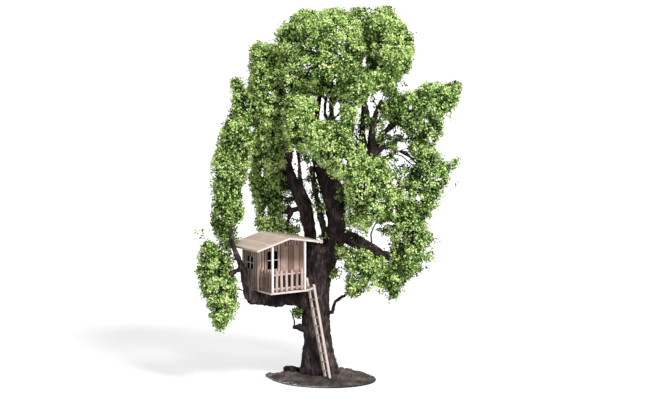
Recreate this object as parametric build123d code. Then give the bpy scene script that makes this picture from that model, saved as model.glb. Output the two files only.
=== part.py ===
from build123d import *
import math
import os

# A handmade model of a tree with a small wooden house on its lowest big limb, about 1:43.
# Millimetres. The house's front faces -Y, its left wall -X, and the origin is under the trunk,
# on the underside of the ground plate.

# The house is turned from the broad side of the tree
house_turn = 33.0

# Ground plate
plate_thickness = 2.0
mound_height = 5.0
mound_top_radius = 27.0

# Deck and walls; the deck's right edge lies against the trunk, so the house grows to the left
deck_right = -20.5
deck_front = -25.0
deck_width = 54.5
deck_depth = 52.5
deck_top = 96.0
deck_thickness = 2.0
deck_corner_cut_depth = 7.4
porch_depth = 24.5
wall_thickness = 1.6
strip_width = 1.4
strip_proud = 0.5

# Roof, with its ridge along Y midway between the porch posts
ridge_from_left = 0.4092 * deck_width
ridge_height = 53.6
roof_half_span = 38.4
left_roof_slope = 14.5
right_roof_slope = 9.7
roof_thickness = 1.86
roof_front_overhang = 0.6
roof_back_overhang = 0.6

# Door, in the right half of the porch wall
door_from_left = 0.5394 * deck_width
doorway_width = 0.3633 * deck_width
doorway_height = 41.4
door_clearance = 0.35
door_thickness = 1.2
door_boards = 3
board_groove = 0.4
ledge_height = 3.0
ledge_thickness = 0.8
ledge_inset = 1.6
ledge_from_end = 6.0

# Windows
front_window_from_left = 0.2128 * deck_width
front_window_width = 0.2294 * deck_width
front_window_height = 18.0
front_window_sill = 19.0
left_window_from_corner = 8.6
left_window_width = 13.0
left_window_height = 13.0
left_window_sill = 19.0

# Porch posts and railings
post_size = 2.0
left_post_from_left = 3.0
right_post_from_left = 0.7486 * deck_width
post_from_edge = 1.8
picket_width = 3.2
picket_thickness = 1.0
picket_height = 21.5
picket_lift = 1.0
front_pickets = 6
side_pickets = 4
rail_height = 1.5
rail_thickness = 1.2
top_rail_at = 16.5
bottom_rail_at = 2.6
railing_clearance = 0.2

# Ladder against the deck's right edge
stile_width = 2.6
stile_thickness = 1.6
ladder_top_front = -16.5
ladder_top_width = 11.0
ladder_foot_x = -8.4
ladder_foot_front = -30.0
ladder_foot_width = 8.6
front_tip = 2.5
back_tip = 7.5
ladder_gap = 0.2
rung_radius = 0.7
rung_spacing = 8.9
first_rung_height = 9.5

# The limb that rises past the house's left wall
rising_limb_off_deck = 6.85
rising_limb_from_front = 27.5

# Foliage
foliage_sides = 10
smallest_scrap = 60.0

deck_left = deck_right - deck_width
deck_back = deck_front + deck_depth
porch_wall_front = deck_front + porch_depth
porch_wall_back = porch_wall_front + wall_thickness
ridge_x = deck_left + ridge_from_left
ridge_top = deck_top + ridge_height
left_fall = roof_half_span * math.tan(math.radians(left_roof_slope))
right_fall = roof_half_span * math.tan(math.radians(right_roof_slope))
roof_front = deck_front - roof_front_overhang
roof_back = deck_back + roof_back_overhang


def tree_at(across, deep, up):
    """A point given along and through the tree's broad side, in the house's axes."""
    turn = math.radians(house_turn)
    x = across * math.cos(turn) + deep * math.sin(turn)
    y = -across * math.sin(turn) + deep * math.cos(turn)
    return Vector(x, y, up)


def beside_house(stations):
    """Stations set out from the foot of the rising limb, as (across, deep, ...) of the tree."""
    x = deck_left - rising_limb_off_deck
    y = deck_front + rising_limb_from_front
    turn = math.radians(house_turn)
    across = x * math.cos(turn) - y * math.sin(turn)
    deep = x * math.sin(turn) + y * math.cos(turn)
    return [(across + s[0], deep + s[1], *s[2:]) for s in stations]


def block(x0, x1, y0, y1, z0, z1):
    """A box between two corners."""
    centre = ((x0 + x1) / 2, (y0 + y1) / 2, (z0 + z1) / 2)
    return Pos(*centre) * Box(x1 - x0, y1 - y0, z1 - z0)


def kept_solids(shape):
    """The solids of a shape, without the scraps that a cut leaves."""
    return [s for s in shape.solids() if s.volume > smallest_scrap]


def together(solids):
    """One shape from separate solids that share a node."""
    return Compound(children=solids) if len(solids) > 1 else solids[0]


def without(shape, others):
    """A shape cut clear of whatever it would run into."""
    for other in others:
        a, b = shape.bounding_box(), other.bounding_box()
        apart = any(hi < lo for hi, lo in zip([*a.max, *b.max], [*b.min, *a.min]))
        if not apart:
            shape = shape - other
    return shape


def limb(stations):
    """A limb, round in section and square to its run, through (across, deep, up, radius)."""
    points = [tree_at(*s[:3]) for s in stations]
    last = len(points) - 1
    side = None
    sections = []
    for i, (point, station) in enumerate(zip(points, stations)):
        ahead = (points[min(i + 1, last)] - points[max(i - 1, 0)]).normalized()
        if side is None:
            side = Vector(0, 1, 0).cross(ahead) if abs(ahead.Y) < 0.9 else Vector(0, 0, 1).cross(ahead)
        side = (side - ahead * side.dot(ahead)).normalized()
        plane = Plane(origin=point, x_dir=side, z_dir=ahead)
        sections.append(plane * Circle(station[3]))
    return loft(sections, ruled=True)


def lump(rings):
    """A mass of foliage through level rings (across, deep, up, half width, half depth)."""
    sections = []
    for across, deep, up, half_width, half_depth in rings:
        corners = []
        for i in range(foliage_sides):
            angle = 2 * math.pi * (i + 0.5) / foliage_sides
            corners.append(
                tree_at(across + half_width * math.cos(angle), deep + half_depth * math.sin(angle), up)
            )
        sections.append(Face(Wire.make_polygon(corners)))
    return loft(sections, ruled=True)


def lobe(across, deep, up, radius):
    """A rounded swell of foliage."""
    rings = []
    for rise, share in ((-0.85, 0.45), (-0.35, 0.94), (0.35, 0.94), (0.85, 0.45)):
        rings.append((across, deep, up + rise * radius, share * radius, share * radius))
    return lump(rings)


def lobed(rings, lobes):
    """One mass of foliage from its core and the lobes that swell out of it."""
    mass = lump(rings)
    for one in lobes:
        mass = mass + lobe(*one)
    return mass


nodes = {}

# Ground plate: a thin cut outline with a low mound up to the trunk
outline = [
    (-56, 2), (-47, -22), (-30, -45), (0, -58), (34, -52), (55, -22),
    (50, 2), (36, 24), (18, 40), (-6, 45), (-28, 40), (-42, 18),
]
rim = [tree_at(across, deep, 0) for across, deep in outline]
plate_face = make_face(Spline(*rim, periodic=True))
plate = extrude(plate_face, plate_thickness)
mound_foot = Pos(0, 0, plate_thickness) * scale(plate_face, by=0.94)
mound_top = Pos(0, 0, mound_height) * Circle(mound_top_radius)
nodes["ground_plate"] = plate + loft([mound_foot.face(), mound_top.face()])

# Trunk, and limbs that each end against the one they leave; the house limb is cut flat under the deck
trunk_run = [
    (-2, 0, mound_height - 2, 20.0), (-3, 0, 10, 18.0), (-3, 0, 21, 16.2), (-3, 0, 36, 14.0),
    (-5, 0, 50, 14.0), (-5, 0, 83, 13.0), (-4, 0, 101, 13.2), (-1, 0, 115, 15.0),
    (1.5, 0, 127, 16.0), (1, 0, 135, 13.0),
]
left_leader_run = [
    (-9, 5, 124, 7.0), (-11.5, 5, 147, 5.8), (-14, 6, 161, 7.0), (-17, 6, 176, 7.8),
    (-23, 6, 189, 6.6), (-30, 8, 202, 5.0), (-33, 8, 217, 3.6), (-32, 8, 240, 3.2),
    (-40, 6, 268, 2.8), (-45, 5, 300, 2.0),
]
right_leader_run = [
    (10, 0, 122, 11.5), (14.5, 0, 142, 10.0), (15.5, 0, 160, 8.8), (14.5, 0, 177, 11.0),
    (11, 0, 191, 11.0), (5, 0, 206, 9.2), (-1, 0, 221, 8.2), (-5, 0, 238, 6.4),
    (-5, 0, 261, 3.4), (-2, 0, 281, 2.6), (0, 0, 301, 2.2), (4, 0, 330, 1.6),
]
between_leaders_runs = [
    [(6, -2, 134, 4.0), (1, -5, 158, 3.2), (-3, -7, 179, 3.0), (-7, -8, 197, 2.8), (-9, -7, 215, 2.0)],
    [(-20, 4, 184, 2.6), (-21, 1, 204, 1.9), (-22, 0, 218, 1.8), (-25, 0, 244, 1.4)],
    [(-4, -1, 236, 4.2), (5, -2, 249, 3.2), (11, -2, 260, 2.6), (10, -2, 275, 2.2), (10, -1, 294, 1.6)],
    [(9, -2, 254, 1.8), (4, -5, 267, 1.5), (4, -5, 277, 1.4), (7, -4, 296, 1.2)],
    [(11, -1, 259, 2.2), (20, 1, 269, 1.8), (20, 1, 288, 1.4)],
    [(-3, 0, 264, 2.8), (-16, 2, 281, 3.4), (-31, 4, 296, 3.0), (-37, 4, 308, 2.0)],
    [(-1, 0, 284, 2.4), (10, 2, 301, 2.6), (22, 4, 316, 1.8)],
]
upper_right_runs = [
    [
        (16, 2, 177, 8.0), (31, 4, 196, 6.5), (45, 6, 213, 5.0), (43.5, 7, 230, 3.3),
        (41, 8, 246, 2.9), (41.5, 8, 262, 2.7), (44, 8, 282, 2.2), (52, 7, 310, 2.0), (60, 6, 336, 1.6),
    ],
    [(46, 6, 214, 4.4), (51, 5, 228, 3.8), (50.5, 4, 244, 3.6), (52, 3, 260, 3.0), (60, 4, 280, 2.0)],
    [(41, 8, 247, 1.8), (47, 6, 256, 1.8), (53, 4, 262, 1.8)],
]
right_arm_runs = [
    [(50, 5, 226, 3.4), (64, 8, 248, 2.8), (84, 8, 266, 2.4), (111, 6, 280, 2.0), (131, 5, 289, 1.4)],
    [(48, 5, 218, 3.2), (59, 2, 231, 2.6), (68, 0, 235, 2.2), (80, -2, 243, 1.4)],
    [(50, 5, 216, 2.8), (63, 8, 221, 2.2), (78, 10, 229, 1.4)],
]
low_right_run = [
    (14, -2, 149, 8.0), (29, -4, 142, 6.8), (45, -6, 134, 6.2), (61, -8, 125, 5.0),
    (78, -8, 124, 3.4), (93, -6, 133, 2.2),
]
house_limb_run = [
    (-6, -3, 77, 9.0), (-21, -10, 81.5, 8.3), (-37, -20, 85.6, 7.9), (-55, -32, 86.7, 6.9),
    *beside_house([(-1.5, -1, 88.5, 6.0)]),
]
rising_limb_run = beside_house([
    (0, 0, 88.4, 5.8), (-3.5, -2, 103, 4.6), (-6.6, -4, 116, 3.3), (-11.2, -4, 127, 3.0),
    (-15.4, -4, 137, 2.8), (-17.6, -2.5, 147, 2.6), (-20.5, 6, 164, 2.4), (-21, 14.5, 193, 2.1),
    (-18, 22.5, 233, 1.6),
])
trunk_twig_runs = [
    [(1, -4, 66, 3.2), (11, -9, 68, 2.4), (14, -11, 79, 2.0), (24, -13, 86, 1.5)],
    [(-10, -5, 46, 3.6), (-21, -10, 53, 2.8), (-28, -12, 53.5, 1.8)],
]
hanging_twig_run = beside_house([(-8, -3.5, 119, 2.4), (-19, -3.5, 113, 2.2), (-29, -1.5, 106, 1.5)])
front_limb_runs = [
    [(12, -4, 186, 5.0), (28, -22, 189, 3.6), (42, -34, 192, 2.4)],
    [(-1, -3, 218, 4.4), (6, -20, 227, 3.2), (12, -36, 238, 2.2)],
    [(-7, -2, 244, 3.4), (-14, -18, 254, 2.6), (-21, -32, 263, 1.8)],
    [(46, 6, 260, 3.4), (44, -12, 275, 2.6), (40, -28, 289, 1.8)],
    [(45, -7, 133, 3.4), (43, -15, 122, 2.6), (42, -22, 112, 1.8)],
]
back_limb_runs = [
    [(-22, 8, 190, 5.0), (-36, 26, 192, 3.6), (-50, 42, 196, 2.4)],
    [(13, 5, 172, 5.0), (30, 26, 178, 3.6), (44, 40, 186, 2.4)],
    [(-15, 7, 172, 3.2), (-31, 10, 168, 2.4), (-43, 13, 164, 1.6)],
    [(-17, 7, 182, 2.8), (-32, 13, 179, 2.0), (-43, 16, 182, 1.4)],
    [(-30, 10, 166, 2.2), (-33, 15, 157, 1.8), (-33, 20, 147, 1.4)],
]
root_stub_run = [(-24, 6, 4, 4.5), (-32, 10, 7, 3.4), (-38, 14, 6, 1.6)]

# Deck, with its right front corner cut off beside the post, to leave room for the ladder
cut_from = deck_left + right_post_from_left + post_size
deck_outline = make_face(
    Polyline(
        (deck_left, deck_front),
        (cut_from, deck_front),
        (deck_right, deck_front + deck_corner_cut_depth),
        (deck_right, deck_back),
        (deck_left, deck_back),
        close=True,
    )
)
nodes["deck"] = Pos(0, 0, deck_top - deck_thickness) * extrude(deck_outline, deck_thickness)



def limbs_on(runs, carriers):
    """Limbs one after another, each cut off where it meets a carrier or a limb before it."""
    solids = []
    for run in runs:
        solids.extend(kept_solids(without(limb(run), carriers + solids)))
    return solids


wood = {}
for name, runs in (
    ("trunk", [trunk_run]),
    ("left_leader", [left_leader_run]),
    ("right_leader", [right_leader_run]),
    ("upper_right_limb", upper_right_runs),
    ("right_arm_limb", right_arm_runs),
    ("low_right_limb", [low_right_run]),
    ("house_limb", [house_limb_run]),
    ("rising_limb", [rising_limb_run]),
    ("hanging_twig", [hanging_twig_run]),
    ("front_limbs", front_limb_runs + between_leaders_runs),
    ("back_limbs", back_limb_runs),
    ("trunk_twigs", trunk_twig_runs),
    ("root_stub", [root_stub_run]),
):
    wood[name] = together(limbs_on(runs, [*wood.values(), nodes["ground_plate"], nodes["deck"]]))
nodes.update(wood)

# House: walls up to the underside of the roof, and the roof's two slopes
under_ridge = ridge_top - roof_thickness
under_roof = extrude(
    Plane.XZ.offset(-roof_back)
    * make_face(
        Polyline(
            (ridge_x, under_ridge),
            (ridge_x - roof_half_span, under_ridge - left_fall),
            (ridge_x - roof_half_span, 0),
            (ridge_x + roof_half_span, 0),
            (ridge_x + roof_half_span, under_ridge - right_fall),
            close=True,
        )
    ),
    roof_back - roof_front,
)


def wall(x0, x1, y0, y1, base=deck_top):
    """A slab of wall from its base up to the underside of the roof."""
    return block(x0, x1, y0, y1, base, ridge_top) & under_roof


def roof_side(direction, fall):
    """One slope of the roof, mitred at the ridge."""
    eave_x = ridge_x + direction * roof_half_span
    profile = make_face(
        Polyline(
            (ridge_x, ridge_top),
            (eave_x, ridge_top - fall),
            (eave_x, under_ridge - fall),
            (ridge_x, under_ridge),
            close=True,
        )
    )
    return extrude(Plane.XZ.offset(-roof_back) * profile, roof_back - roof_front)


nodes["roof_left"] = roof_side(-1, left_fall)
nodes["roof_right"] = roof_side(1, right_fall)

inner_left = deck_left + wall_thickness
inner_right = deck_right - wall_thickness
inner_back = deck_back - wall_thickness
door_x0 = deck_left + door_from_left
door_x1 = door_x0 + doorway_width
doorway_top = deck_top + doorway_height

window_y0 = porch_wall_front + left_window_from_corner
left_window = block(
    deck_left - wall_thickness, inner_left + wall_thickness,
    window_y0, window_y0 + left_window_width,
    deck_top + left_window_sill, deck_top + left_window_sill + left_window_height,
)
window_x0 = deck_left + front_window_from_left
front_window = block(
    window_x0, window_x0 + front_window_width,
    porch_wall_front - wall_thickness, porch_wall_back + wall_thickness,
    deck_top + front_window_sill, deck_top + front_window_sill + front_window_height,
)
nodes["left_wall"] = wall(deck_left, inner_left, porch_wall_front, deck_back) - left_window
nodes["right_wall"] = wall(inner_right, deck_right, porch_wall_front, deck_back)
nodes["back_wall"] = wall(inner_left, inner_right, inner_back, deck_back)
nodes["front_wall"] = wall(inner_left, door_x0, porch_wall_front, porch_wall_back) - front_window
nodes["door_side_wall"] = wall(door_x1, inner_right, porch_wall_front, porch_wall_back)
nodes["door_header"] = wall(door_x0, door_x1, porch_wall_front, porch_wall_back, doorway_top)


def corner_strip(x_out, y_out, x_sign, y_sign):
    """An angle strip that covers the outside of one corner of the walls."""
    x_in = x_out + x_sign * strip_width
    y_in = y_out + y_sign * strip_width
    x_far = x_out - x_sign * strip_proud
    y_far = y_out - y_sign * strip_proud
    strip = wall(min(x_in, x_far), max(x_in, x_far), min(y_in, y_far), max(y_in, y_far))
    covered = block(deck_left, deck_right, porch_wall_front, deck_back, deck_top, ridge_top)
    return strip - covered


strips = [
    corner_strip(deck_left, porch_wall_front, 1, 1),
    corner_strip(deck_left, deck_back, 1, -1),
    corner_strip(deck_right, porch_wall_front, -1, 1),
    corner_strip(deck_right, deck_back, -1, -1),
]
nodes["corner_strips"] = together([s.solids()[0] for s in strips])

# Door leaf: boards with a groove at each joint, and two ledges behind
leaf_x0 = door_x0 + door_clearance
leaf_x1 = door_x1 - door_clearance
leaf_z0 = deck_top + door_clearance
leaf_z1 = doorway_top - door_clearance
leaf_back = porch_wall_back
leaf_front = leaf_back - door_thickness
leaf = block(leaf_x0, leaf_x1, leaf_front, leaf_back, leaf_z0, leaf_z1)
for i in range(1, door_boards):
    groove_x = leaf_x0 + (leaf_x1 - leaf_x0) * i / door_boards
    leaf -= Pos(groove_x, leaf_front, (leaf_z0 + leaf_z1) / 2) * Rot(0, 0, 45) * Box(
        board_groove, board_groove, leaf_z1 - leaf_z0
    )
for ledge_z in (leaf_z0 + ledge_from_end, leaf_z1 - ledge_from_end):
    leaf += block(
        leaf_x0 + ledge_inset, leaf_x1 - ledge_inset,
        leaf_back, leaf_back + ledge_thickness,
        ledge_z - ledge_height / 2, ledge_z + ledge_height / 2,
    )
nodes["door"] = leaf

# Porch posts
post_y0 = deck_front + post_from_edge - post_size / 2
post_y1 = post_y0 + post_size
posts = []
for from_left in (left_post_from_left, right_post_from_left):
    x = deck_left + from_left
    posts.append(wall(x - post_size / 2, x + post_size / 2, post_y0, post_y1).solids()[0])
nodes["porch_posts"] = together(posts)


def railing(length, count):
    """A railing along X from the origin: two rails with flat pickets on their near side."""
    parts = []
    for height in (bottom_rail_at, top_rail_at):
        parts.append(block(0, length, 0, rail_thickness, height, height + rail_height))
    pitch = length / count
    for i in range(count):
        x = pitch * (i + 0.5)
        parts.append(
            block(x - picket_width / 2, x + picket_width / 2, -picket_thickness, 0, picket_lift, picket_height)
        )
    panel = parts[0]
    for part in parts[1:]:
        panel += part
    return panel


front_run_x0 = deck_left + left_post_from_left + post_size / 2 + railing_clearance
front_run_x1 = deck_left + right_post_from_left - post_size / 2 - railing_clearance
nodes["front_railing"] = Pos(front_run_x0, post_y0 + post_size / 2 - rail_thickness / 2, deck_top) * railing(
    front_run_x1 - front_run_x0, front_pickets
)
side_run_y0 = post_y1 + railing_clearance
side_run_y1 = porch_wall_front - strip_proud - railing_clearance
side_x = deck_left + left_post_from_left - rail_thickness / 2
nodes["side_railing"] = Pos(side_x, side_run_y1, deck_top) * Rot(0, 0, -90) * railing(
    side_run_y1 - side_run_y0, side_pickets
)

# Ladder: two stiles from the mound to the deck's right edge, and the rungs between them
ladder_top_x = deck_right + ladder_gap + stile_width / 2
ladder_foot_z = plate_thickness
lean_height = deck_top - ladder_foot_z


def stile_centre(front_top, front_foot, height):
    """The centre of a stile at a height above the ladder's foot."""
    share = height / lean_height
    x = ladder_foot_x + (ladder_top_x - ladder_foot_x) * share
    y = front_foot + (front_top - front_foot) * share
    return Vector(x, y, ladder_foot_z + height)


def stile(front_top, front_foot, tip):
    """A stile, level at both ends, cut to the mound's surface at its foot."""
    ends = []
    for height in (0, lean_height + tip):
        centre = stile_centre(front_top, front_foot, height)
        ends.append(Plane(origin=centre) * Rectangle(stile_width, stile_thickness))
    return together(kept_solids(loft(ends) - nodes["ground_plate"]))


back_top = ladder_top_front + ladder_top_width
back_foot = ladder_foot_front + ladder_foot_width
front_stile = stile(ladder_top_front, ladder_foot_front, front_tip)
back_stile = stile(back_top, back_foot, back_tip)
rungs = []
height = first_rung_height
while height < lean_height - rung_spacing / 3:
    near = stile_centre(ladder_top_front, ladder_foot_front, height)
    far = stile_centre(back_top, back_foot, height)
    span = far.Y - near.Y - stile_thickness
    middle = (near + far) * 0.5
    rung = Pos(*middle) * Rot(90, 0, 0) * Cylinder(rung_radius, span + stile_thickness)
    rungs.append((rung - front_stile - back_stile).solids()[0])
    height += rung_spacing
nodes["ladder_front_stile"] = front_stile
nodes["ladder_back_stile"] = back_stile
nodes["ladder_rungs"] = together(rungs)

# Foliage masses, each cut clear of the limbs and of the masses made before it
crown_core = [
    (1, -6, 289, 20, 22), (-7, -5, 301, 35, 42), (-2, -2, 315, 41, 50), (0, 0, 331, 42, 54),
    (1, 0, 346, 40, 52), (4, 0, 358, 35, 42), (9, 0, 366, 26, 30),
]
crown_lobes = [
    (-27, -22, 311, 19), (-27, -22, 341, 20), (2, -42, 319, 21), (-6, -38, 347, 19),
    (26, -32, 303, 16), (27, -34, 333, 19), (-28, 20, 318, 20), (-24, 22, 346, 18),
    (0, 42, 328, 21), (24, 34, 312, 18), (26, 30, 344, 18), (-14, 2, 357, 16), (16, -6, 358, 17),
]
crown_right_core = [
    (60, 6, 288, 11, 14), (60, 6, 298, 15, 26), (65, 6, 314, 23, 38), (66, 6, 330, 24, 42),
    (64, 6, 346, 22, 38), (61, 6, 360, 18, 26), (64, 6, 371, 9, 12), (66, 6, 375, 6, 8),
]
crown_right_lobes = [
    (58, -24, 310, 15), (68, -30, 330, 16), (62, -22, 350, 15), (80, -8, 318, 12), (80, -6, 344, 13),
    (80, 22, 332, 14), (60, 36, 326, 15), (60, 32, 348, 14), (60, 30, 308, 13), (60, 4, 360, 14),
]
left_shoulder = [
    (-53, 6, 258, 17, 24), (-55, 6, 275, 19, 32), (-54, 6, 292, 19, 36), (-54, 6, 312, 18, 36),
    (-56, 6, 328, 14, 26), (-61, 6, 337, 8, 12),
]
left_middle = [
    (-49, 18, 142, 12, 12), (-52, 18, 155, 15, 17), (-52, 18, 173, 12, 20), (-54, 17, 193, 11, 21),
    (-55, 14, 214, 16, 24), (-53, 8, 240, 20, 28), (-51, 4, 260, 18, 26),
]
far_left = beside_house([
    (-28, 18.5, 145, 5, 6), (-28, 18.5, 157, 12, 12), (-23, 18.5, 169, 16, 16), (-23, 20.5, 183, 14, 18),
    (-22, 22.5, 201, 15, 20), (-20, 22.5, 219, 18, 22), (-15, 25.5, 237, 17, 24),
    (-13, 28.5, 256, 15, 22), (-9, 31.5, 274, 11, 18), (-11, 34.5, 289, 8, 12), (-14, 34.5, 302, 4, 5),
])
hanging_left = beside_house([
    (-30, -4.5, 57, 3, 3), (-28, -4.5, 70, 12, 11), (-27, -2.5, 84, 16, 15), (-33, 0.5, 102, 20, 18),
    (-36, 3.5, 118, 18, 18), (-38, 5.5, 133, 12, 14), (-42, 6.5, 145, 4, 5),
])
middle_upper = [
    (-21, -36, 235, 9, 9), (-21, -36, 247, 15, 16), (-21, -36, 263, 17, 19), (-21, -35, 280, 17, 19),
    (-21, -34, 292, 11, 12),
]
middle_front = [
    (29, -42, 206, 10, 11), (25, -42, 218, 22, 20), (15, -42, 234, 29, 24), (10, -42, 250, 26, 22),
    (7, -42, 263, 12, 12),
]
middle_right = [
    (34, -36, 150, 6, 7), (39, -36, 162, 16, 14), (48, -37, 177, 24, 21), (49, -38, 195, 25, 23),
    (46, -38, 213, 24, 20), (50, -36, 227, 14, 14),
]
upper_middle = [(27, -34, 261, 9, 9), (27, -34, 278, 11, 14), (34, -34, 296, 22, 22), (40, -34, 312, 19, 18)]
right_arm = [
    (100, 6, 228, 12, 12), (104, 6, 244, 16, 16), (97, 7, 260, 30, 20), (96, 6, 274, 40, 24),
    (109, 6, 286, 30, 19), (125, 6, 296, 16, 10),
]
right_side = [
    (91, 1, 158, 14, 13), (92, 1, 172, 22, 20), (100, 2, 186, 21, 22), (107, 2, 202, 22, 22),
    (109, 3, 215, 18, 20), (102, 5, 228, 12, 13),
]
right_low = [
    (86, -5, 114, 13, 15), (86, -5, 130, 19, 21), (88, -5, 144, 19, 21), (84, -6, 159, 20, 20),
    (81, -8, 173, 16, 17), (77, -9, 189, 10, 12),
]
skirt_left = [
    (33, -24, 87, 7, 8), (37, -23, 97, 14, 13), (45, -22, 109, 19, 17), (41, -20, 123, 23, 17),
    (23, -18, 134, 10, 10),
]
skirt_right = [(72, -14, 81, 3, 3), (73, -14, 91, 8, 9), (74, -13, 103, 15, 17), (80, -11, 115, 20, 20)]
right_tip = [(122, 3, 196, 5, 6), (128, 3, 208, 6, 6), (134, 3, 220, 3, 3)]
back_left = [
    (-54, 48, 168, 14, 14), (-56, 48, 189, 20, 22), (-46, 46, 215, 24, 26), (-31, 44, 240, 24, 26),
    (-21, 42, 264, 18, 20),
]
back_right = [
    (52, 44, 151, 13, 13), (52, 46, 169, 22, 24), (50, 46, 194, 26, 28), (31, 44, 225, 26, 26),
    (24, 42, 251, 18, 20),
]
low_tuft = [(-23, -6, 62, 2.5, 2.5), (-23, -6, 69, 4.5, 4.5), (-20, -8, 77, 3, 3)]
small_tuft = [(13, -6, 103, 3, 3), (13, -6, 108, 5, 5), (13, -6, 113, 3, 3)]

taken = [nodes[name] for name in wood]
for name, masses in (
    ("crown_foliage", [lobed(crown_core, crown_lobes)]),
    ("right_crown_foliage", [lobed(crown_right_core, crown_right_lobes)]),
    ("left_shoulder_foliage", [lump(left_shoulder)]),
    ("left_middle_foliage", [lump(left_middle)]),
    ("far_left_foliage", [lump(far_left)]),
    ("hanging_left_foliage", [lump(hanging_left)]),
    ("middle_foliage", [lump(middle_upper), lump(middle_front)]),
    ("right_middle_foliage", [lump(middle_right), lump(upper_middle)]),
    ("right_arm_foliage", [lump(right_arm)]),
    ("right_side_foliage", [lump(right_side), lump(right_tip)]),
    ("right_low_foliage", [lump(right_low)]),
    ("skirt_foliage", [lump(skirt_left), lump(skirt_right)]),
    ("back_foliage", [lump(back_left), lump(back_right)]),
    ("tufts", [lump(low_tuft), lump(small_tuft)]),
):
    solids = []
    for mass in masses:
        solids.extend(kept_solids(without(mass, taken + solids)))
    taken.extend(solids)
    nodes[name] = together(solids)

os.makedirs("parts", exist_ok=True)
for name, shape in nodes.items():
    export_step(shape, f"parts/{name}.step")
print(len(nodes), "nodes")
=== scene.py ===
# %% [markdown]
# A handmade model tree with a small wooden house on its lowest big limb, dressed in Blender.
# The solids come from the CAD model as a fixed frame. This lesson gives them bark, boards,
# twigs and some 270,000 leaf flakes, and leaves their sizes and places as they are.

# %% Load the frame
import math

import bmesh
import bpy
import numpy as np
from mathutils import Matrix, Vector, kdtree, noise


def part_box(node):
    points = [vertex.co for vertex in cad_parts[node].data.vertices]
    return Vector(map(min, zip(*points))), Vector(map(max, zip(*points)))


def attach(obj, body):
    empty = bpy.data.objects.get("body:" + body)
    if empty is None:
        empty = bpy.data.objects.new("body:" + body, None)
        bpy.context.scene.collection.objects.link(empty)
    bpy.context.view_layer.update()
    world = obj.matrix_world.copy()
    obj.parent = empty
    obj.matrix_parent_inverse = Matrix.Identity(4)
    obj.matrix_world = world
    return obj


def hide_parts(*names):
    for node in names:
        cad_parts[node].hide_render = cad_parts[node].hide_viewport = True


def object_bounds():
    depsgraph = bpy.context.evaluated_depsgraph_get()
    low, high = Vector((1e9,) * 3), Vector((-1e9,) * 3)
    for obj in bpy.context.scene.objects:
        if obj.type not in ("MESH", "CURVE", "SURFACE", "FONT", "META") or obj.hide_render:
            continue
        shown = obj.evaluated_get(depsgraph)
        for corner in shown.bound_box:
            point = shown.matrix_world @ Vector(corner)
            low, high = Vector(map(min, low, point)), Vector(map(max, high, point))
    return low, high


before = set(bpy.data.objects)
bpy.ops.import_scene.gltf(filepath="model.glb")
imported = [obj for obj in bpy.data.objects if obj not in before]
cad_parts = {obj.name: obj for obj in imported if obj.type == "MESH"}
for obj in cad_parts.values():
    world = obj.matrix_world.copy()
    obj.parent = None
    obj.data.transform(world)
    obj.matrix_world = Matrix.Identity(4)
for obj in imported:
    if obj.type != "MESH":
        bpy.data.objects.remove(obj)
cad_low, cad_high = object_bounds()
MM = 0.001
print("CAD box, mm:", [round((h - l) / MM, 1) for l, h in zip(cad_low, cad_high)])


# %% [markdown]
# The camera stands where the photographer's did: a long lens, far off and a little above
# the middle of the tree, so that the house is seen from its front left corner.

# %% Camera
CAMERA_TURN = math.radians(-33.0)
CAMERA_RISE = math.radians(8.0)
CAMERA_DISTANCE = 3.2
CAMERA_TARGET = Vector((0.00126, -0.00082, 0.1786))
CAMERA_LENS = 178.6

toward_camera = Vector((
    math.sin(CAMERA_TURN) * math.cos(CAMERA_RISE),
    -math.cos(CAMERA_TURN) * math.cos(CAMERA_RISE),
    math.sin(CAMERA_RISE),
))
bpy.ops.object.select_all(action="DESELECT")
bpy.ops.object.camera_add(
    location=CAMERA_TARGET + toward_camera * CAMERA_DISTANCE,
    rotation=(-toward_camera).to_track_quat("-Z", "Y").to_euler(),
)
camera = bpy.context.object
camera.data.lens = CAMERA_LENS
camera.data.sensor_width = 36.0
camera.data.clip_end = 40.0
bpy.context.scene.camera = camera
print("camera at", [round(c, 3) for c in camera.location])


# %% [markdown]
# Finishes are node materials. Writing nodes out one by one is long, so small helpers add a
# node, set or link its inputs, and hand back the output that the next node needs.

# %% Helpers for finishes
def new_finish(name, roughness, specular=0.3):
    """A node material, with the values that are the same all over set on its shader."""
    finish = bpy.data.materials.new(name)
    finish.use_nodes = True
    shader = finish.node_tree.nodes["Principled BSDF"]
    shader.inputs["Roughness"].default_value = roughness
    shader.inputs["Specular IOR Level"].default_value = specular
    return finish


def add_node(finish, kind, output=0, settings=None, **inputs):
    """Adds a node; an input takes a value or another node's output. Returns one output."""
    node = finish.node_tree.nodes.new(kind)
    for key, value in (settings or {}).items():
        setattr(node, key, value)
    for key, value in inputs.items():
        name = key.replace("_", " ")
        socket = node.inputs[int(key[1:])] if key[1:].isdigit() else node.inputs[name]
        if isinstance(value, bpy.types.NodeSocket):
            finish.node_tree.links.new(value, socket)
        else:
            socket.default_value = value
    return node.outputs[output]


def arithmetic(finish, operation, *values):
    """One operation on values or other nodes' outputs, in the order of the node's inputs."""
    inputs = {f"_{index}": value for index, value in enumerate(values)}
    return add_node(finish, "ShaderNodeMath", settings={"operation": operation}, **inputs)


def ramp(finish, factor, *stops):
    """A colour ramp through (place, (red, green, blue)) stops."""
    colour = add_node(finish, "ShaderNodeValToRGB", Fac=factor)
    band = colour.node.color_ramp
    while len(band.elements) < len(stops):
        band.elements.new(0.5)
    for element, (place, rgb) in zip(band.elements, stops):
        element.position = place
        element.color = (*rgb, 1.0)
    return colour


def to_shader(finish, socket, value):
    """Links an output to an input of the finish's shader."""
    shader = finish.node_tree.nodes["Principled BSDF"]
    finish.node_tree.links.new(value, shader.inputs[socket])


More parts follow.
